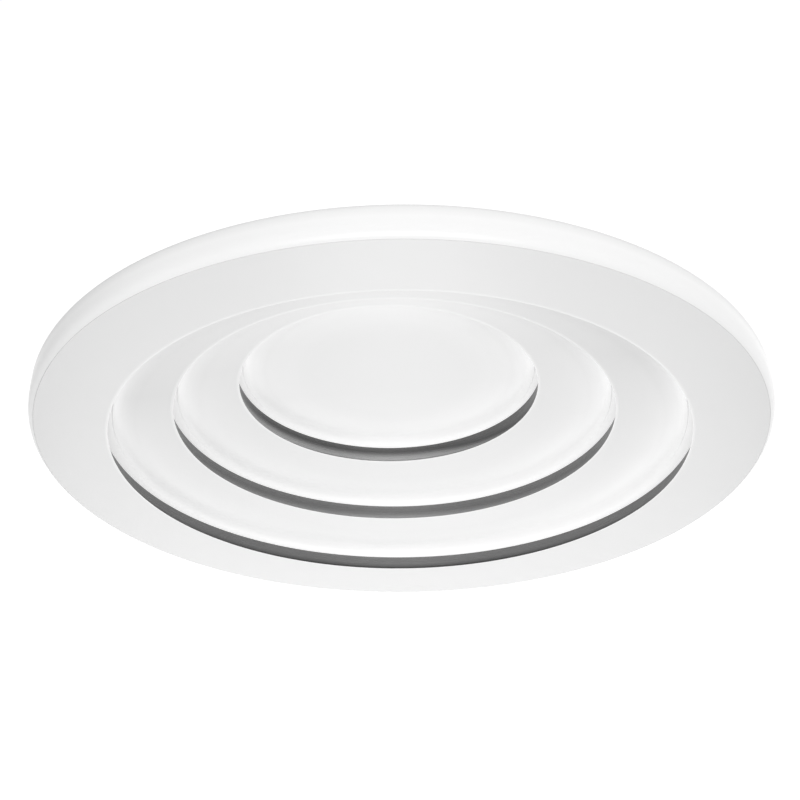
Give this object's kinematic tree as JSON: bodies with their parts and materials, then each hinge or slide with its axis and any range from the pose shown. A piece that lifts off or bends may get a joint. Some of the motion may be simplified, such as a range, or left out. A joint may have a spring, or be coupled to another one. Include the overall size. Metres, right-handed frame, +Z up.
{
  "type": "ceiling light",
  "caption": "Round white ceiling light with stepped off-centre circular recesses, opal panels, grey trim bands, a twist-off front and its driver, terminal and LED tray inside.",
  "frame": {"origin": "middle of the pan's flat back, in the plane of the ceiling", "axes": "+Z up into the ceiling, -Y the side towards which the recesses' centres step, +X to the right of a viewer who looks along +Y"},
  "size_m": [0.5086, 0.5086, 0.09],
  "materials": {
    "white_paint": "satin white powder coat",
    "opal_acrylic": "opal acrylic, softly lit from behind, brightest at its edges",
    "grey_trim": "satin grey anodised",
    "galvanised_steel": "bright zinc plated",
    "white_moulding": "matt moulded white",
    "orange_moulding": "matt moulded orange",
    "black_rubber": "matt black",
    "white_board": "white solder resist",
    "green_board": "green solder resist",
    "led_phosphor": "yellow phosphor under clear silicone",
    "dark_component": "matt black",
    "brown_sleeve": "smooth sleeve",
    "blue_sleeve": "smooth sleeve",
    "green_yellow_sleeve": "smooth sleeve",
    "white_sleeve": "smooth sleeve"
  },
  "bodies": {
    "pan": {"ceiling_pan": "white_paint", "led_tray": "white_paint", "lock_spring": "galvanised_steel", "cable_grommet": "black_rubber", "cable_clamp": "white_moulding", "clamp_screw_left": "galvanised_steel", "clamp_screw_right": "galvanised_steel", "terminal_block": "white_moulding", "earth_screw": "galvanised_steel", "live_lead": "brown_sleeve", "neutral_lead": "blue_sleeve", "earth_lead": "green_yellow_sleeve", "output_lead": "white_sleeve", "driver_base": "white_moulding", "driver_lid": "white_moulding", "driver_screw_left": "galvanised_steel", "driver_screw_right": "galvanised_steel", "driver_board": "green_board", "driver_transformer": "dark_component", "driver_capacitor": "dark_component", "driver_coil": "dark_component", "tray_standoff_1": "galvanised_steel", "tray_standoff_2": "galvanised_steel", "tray_standoff_3": "galvanised_steel", "tray_screw_1": "galvanised_steel", "tray_screw_2": "galvanised_steel", "tray_screw_3": "galvanised_steel", "inner_led_board": "white_board", "middle_led_board": "white_board", "outer_led_board": "white_board", "inner_led_strip": "led_phosphor", "middle_led_strip": "led_phosphor", "outer_led_strip": "led_phosphor", "led_connector": "white_moulding", "cover_pin": "galvanised_steel", "cover_bracket_left": "white_moulding", "cover_bracket_right": "white_moulding"},
    "front": {"face_ring": "white_paint", "rim_diffuser": "opal_acrylic", "rim_carrier": "white_moulding", "front_frame": "white_paint", "bayonet_collar": "white_paint", "outer_trim_band": "grey_trim", "middle_trim_band": "grey_trim", "inner_trim_band": "grey_trim", "outer_panel": "opal_acrylic", "middle_panel": "opal_acrylic", "inner_panel": "opal_acrylic", "outer_spacer_ring": "white_moulding", "middle_spacer_ring": "white_moulding", "inner_spacer_ring": "white_moulding", "frame_screw_1": "galvanised_steel", "frame_screw_2": "galvanised_steel", "frame_screw_3": "galvanised_steel"},
    "cover": {"terminal_cover": "white_moulding"},
    "live_button": {"live_release_button": "orange_moulding"},
    "neutral_button": {"neutral_release_button": "orange_moulding"},
    "earth_button": {"earth_release_button": "orange_moulding"}
  },
  "joints": [
    {"name": "front_turn", "type": "hinge", "parent": "pan", "child": "front", "pos_m": [0, 0, 0], "axis": [0, 0, 1], "range_deg": [0, 15]},
    {"name": "cover_hinge", "type": "hinge", "parent": "pan", "child": "cover", "pos_m": [0, 0.0908, -0.0307], "axis": [-1, 0, 0], "range_deg": [0, 95]},
    {"name": "live_button_press", "type": "slide", "parent": "pan", "child": "live_button", "axis": [0, 0, 1], "range_m": [0, 0.0015], "stiffness_N_per_m": 400, "springref_m": -0.002},
    {"name": "neutral_button_press", "type": "slide", "parent": "pan", "child": "neutral_button", "axis": [0, 0, 1], "range_m": [0, 0.0015], "stiffness_N_per_m": 400, "springref_m": -0.002},
    {"name": "earth_button_press", "type": "slide", "parent": "pan", "child": "earth_button", "axis": [0, 0, 1], "range_m": [0, 0.0015], "stiffness_N_per_m": 400, "springref_m": -0.002}
  ]
}
